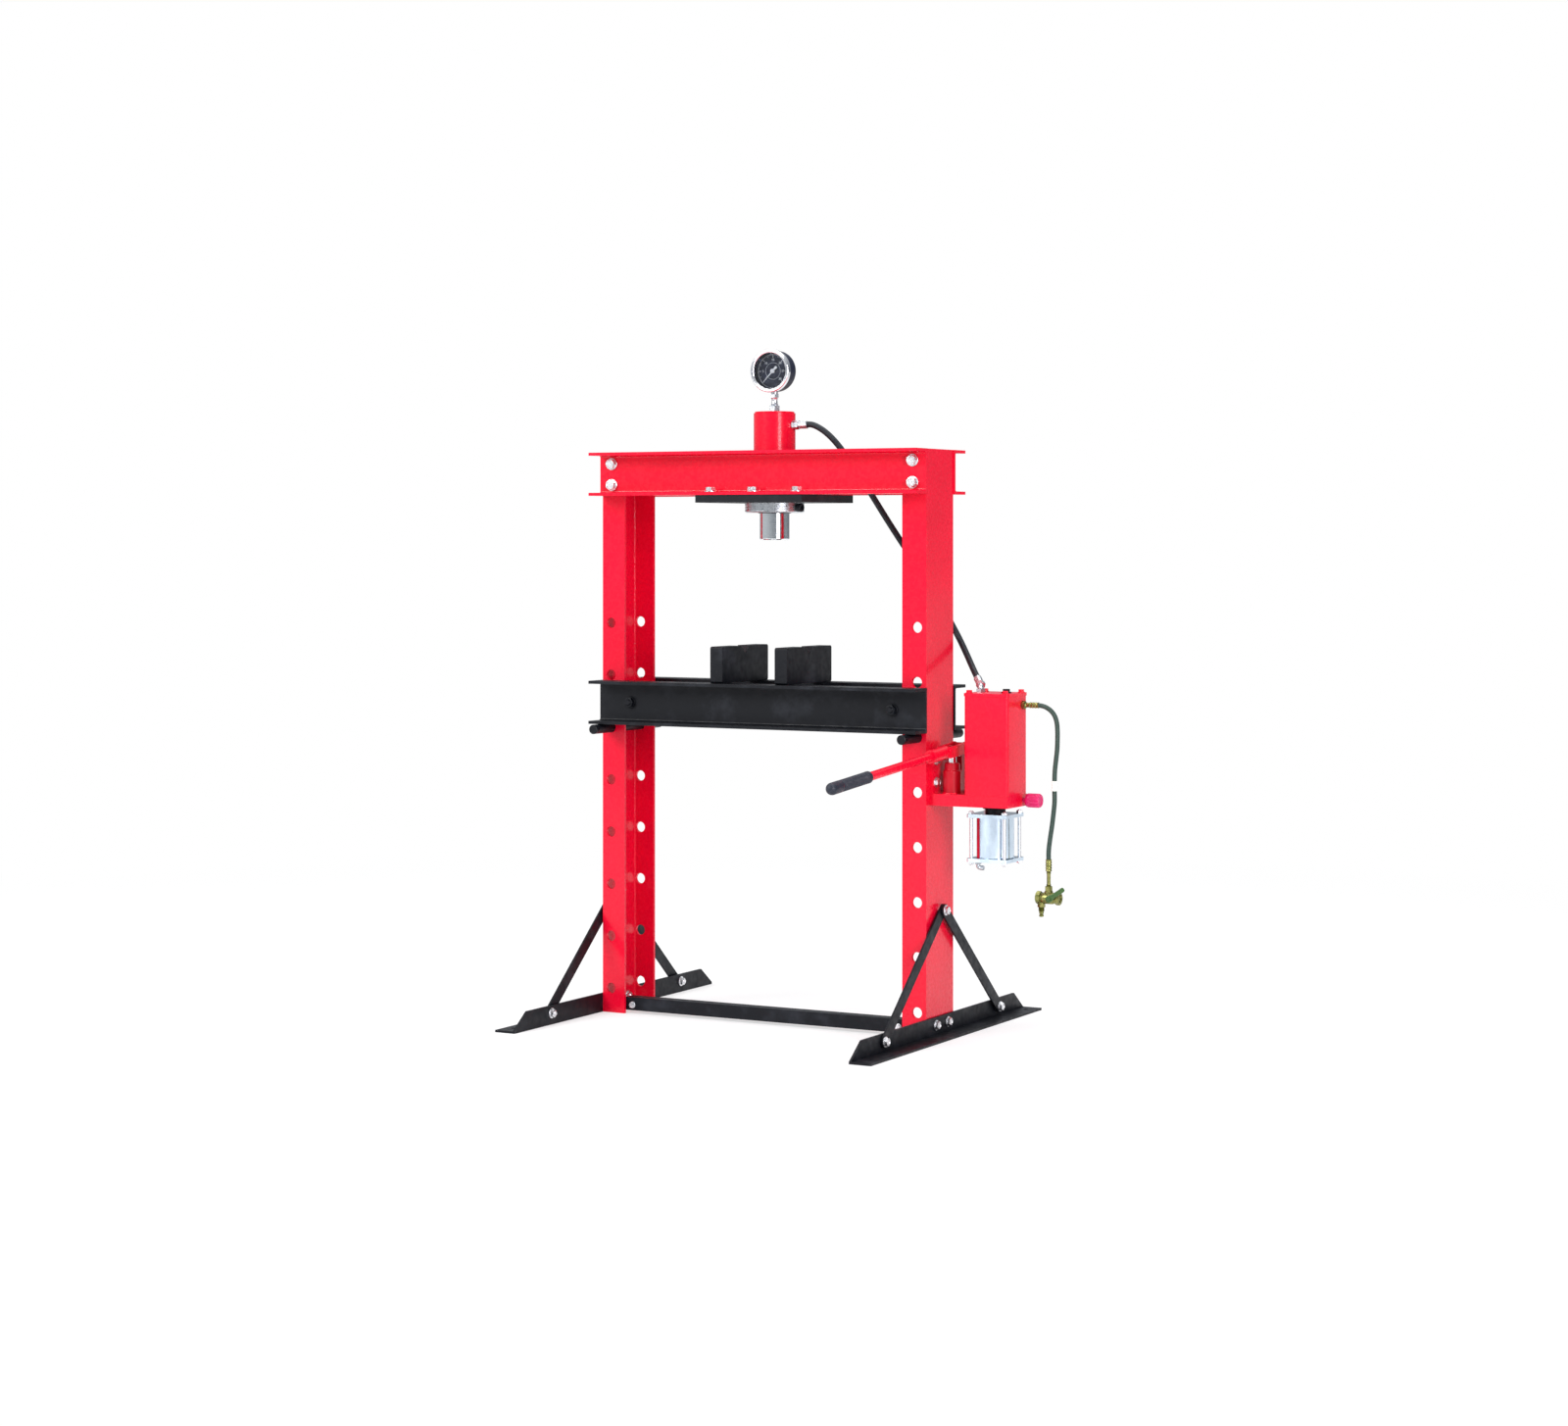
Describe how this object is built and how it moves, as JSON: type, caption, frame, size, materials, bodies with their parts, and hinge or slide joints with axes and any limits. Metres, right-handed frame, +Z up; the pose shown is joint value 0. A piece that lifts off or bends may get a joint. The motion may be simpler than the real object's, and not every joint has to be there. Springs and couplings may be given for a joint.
{
  "type": "hydraulic shop press",
  "caption": "H-frame shop press: pinned bed, V blocks, hydraulic ram with gauge in the head, and a hand and air driven pump on one column.",
  "frame": {"origin": "on the floor, in the middle of the four anchor holes, under the ram's axis", "axes": "+Z up along the ram, +X to the operator's right towards the pump, front at -Y"},
  "size_m": [1.3665, 1.2028, 1.769],
  "materials": {
    "red_paint": "gloss enamel",
    "dark_red_paint": "gloss enamel on a casting",
    "black_paint": "satin powder coat",
    "zinc_steel": "bright zinc plate",
    "ram_chrome": "hard chrome",
    "turned_steel": "turned steel",
    "spring_steel": "oiled spring steel",
    "seal_rubber": "matt rubber",
    "gauge_black": "gloss black",
    "gauge_chrome": "polished",
    "dial_black": "matt dial",
    "needle_white": "matt white",
    "lens_glass": "clear",
    "motor_metal": "polished",
    "oil_hose_rubber": "ribbed black rubber",
    "air_hose_rubber": "dark green rubber",
    "joiner_plastic": "pale sleeve",
    "brass": "plain brass",
    "lever_green": "green coating",
    "grip_rubber": "ribbed grip",
    "knob_plastic": "moulded knob"
  },
  "bodies": {
    "frame": {"upright_left": "red_paint", "upright_right": "red_paint", "top_beam_front": "red_paint", "top_beam_rear": "red_paint", "beam_bolts": "zinc_steel", "foot_left": "black_paint", "foot_right": "black_paint", "braces": "black_paint", "leg_bolts": "zinc_steel", "tie_bar": "black_paint", "head_plate": "black_paint", "head_plate_bolts": "zinc_steel", "cylinder_barrel": "red_paint", "cylinder_cap": "red_paint", "cylinder_collar": "turned_steel", "collar_lock_screw": "black_paint", "ram_wiper": "seal_rubber", "return_spring": "spring_steel", "gauge_stem": "turned_steel", "gauge_case": "gauge_black", "gauge_bezel": "gauge_chrome", "gauge_dial": "dial_black", "gauge_lens": "lens_glass", "pump_base": "red_paint", "pump_mount_bolts": "zinc_steel", "pump_barrel": "dark_red_paint", "fulcrum_post": "dark_red_paint", "fulcrum_pin": "zinc_steel", "pump_tank": "red_paint", "tank_lid": "red_paint", "lid_bolts": "zinc_steel", "filler_plug": "black_paint", "motor_neck": "black_paint", "motor_end_plates": "motor_metal", "motor_tube": "motor_metal", "motor_rods": "zinc_steel", "motor_elbow": "turned_steel", "hose_fittings": "turned_steel", "hydraulic_hose": "oil_hose_rubber", "air_hose": "air_hose_rubber", "hose_joiner": "joiner_plastic", "air_nipple": "brass", "air_valve": "brass"},
    "ram": {"ram": "ram_chrome", "piston_seal": "seal_rubber"},
    "bed": {"bed_channel_front": "black_paint", "bed_channel_rear": "black_paint", "bed_spacers": "black_paint"},
    "pin_left": {"bed_pin_left": "black_paint"},
    "pin_right": {"bed_pin_right": "black_paint"},
    "block_left": {"v_block_left": "black_paint"},
    "block_right": {"v_block_right": "black_paint"},
    "needle": {"gauge_needle": "needle_white"},
    "handle": {"handle_socket": "red_paint", "handle_bar": "red_paint", "handle_grip": "grip_rubber"},
    "plunger": {"pump_plunger": "ram_chrome"},
    "knob": {"release_knob": "knob_plastic"},
    "drive_piston": {"motor_piston": "turned_steel"},
    "lever": {"valve_lever": "lever_green"}
  },
  "joints": [
    {"name": "ram_stroke", "type": "slide", "parent": "frame", "child": "ram", "axis": [0, 0, -1], "range_m": [0, 0.13], "stiffness_N_per_m": 1200, "springref_m": -0.11, "deforming": ["return_spring"]},
    {"name": "bed_lift", "type": "slide", "parent": "frame", "child": "bed", "axis": [0, 0, 1], "range_m": [0, 0.08]},
    {"name": "left_pin_pull", "type": "slide", "parent": "frame", "child": "pin_left", "axis": [0, -1, 0], "range_m": [0, 0.32]},
    {"name": "right_pin_pull", "type": "slide", "parent": "frame", "child": "pin_right", "axis": [0, -1, 0], "range_m": [0, 0.32]},
    {"name": "left_block_slide", "type": "slide", "parent": "bed", "child": "block_left", "axis": [1, 0, 0], "range_m": [-0.25, 0.05]},
    {"name": "right_block_slide", "type": "slide", "parent": "bed", "child": "block_right", "axis": [1, 0, 0], "range_m": [-0.05, 0.25]},
    {"name": "needle_turn", "type": "hinge", "parent": "frame", "child": "needle", "pos_m": [0, 0, 1.712], "axis": [0, 1, 0], "range_deg": [0, 270], "stiffness_Nm_per_rad": 0.0005, "springref_deg": -11.46},
    {"name": "handle_swing", "type": "hinge", "parent": "frame", "child": "handle", "pos_m": [0.524, 0.03, 0.735], "axis": [-1, 0, 0], "range_deg": [0, 50]},
    {"name": "plunger_stroke", "type": "slide", "parent": "frame", "child": "plunger", "axis": [0, 0, 1], "range_m": [0, 0.0395]},
    {"name": "release_turn", "type": "hinge", "parent": "frame", "child": "knob", "pos_m": [0.699, 0.038, 0.607], "axis": [1, 0, 0], "range_deg": [0, 360]},
    {"name": "drive_stroke", "type": "slide", "parent": "frame", "child": "drive_piston", "axis": [0, 0, 1], "range_m": [0, 0.03]},
    {"name": "air_valve_turn", "type": "hinge", "parent": "frame", "child": "lever", "pos_m": [0.782, 0.007, 0.363], "axis": [0, 1, 0], "range_deg": [0, 90]}
  ],
  "couplings": [
    {"joint": "plunger_stroke", "follows": "handle_swing", "m_per_rad": 0.045}
  ]
}
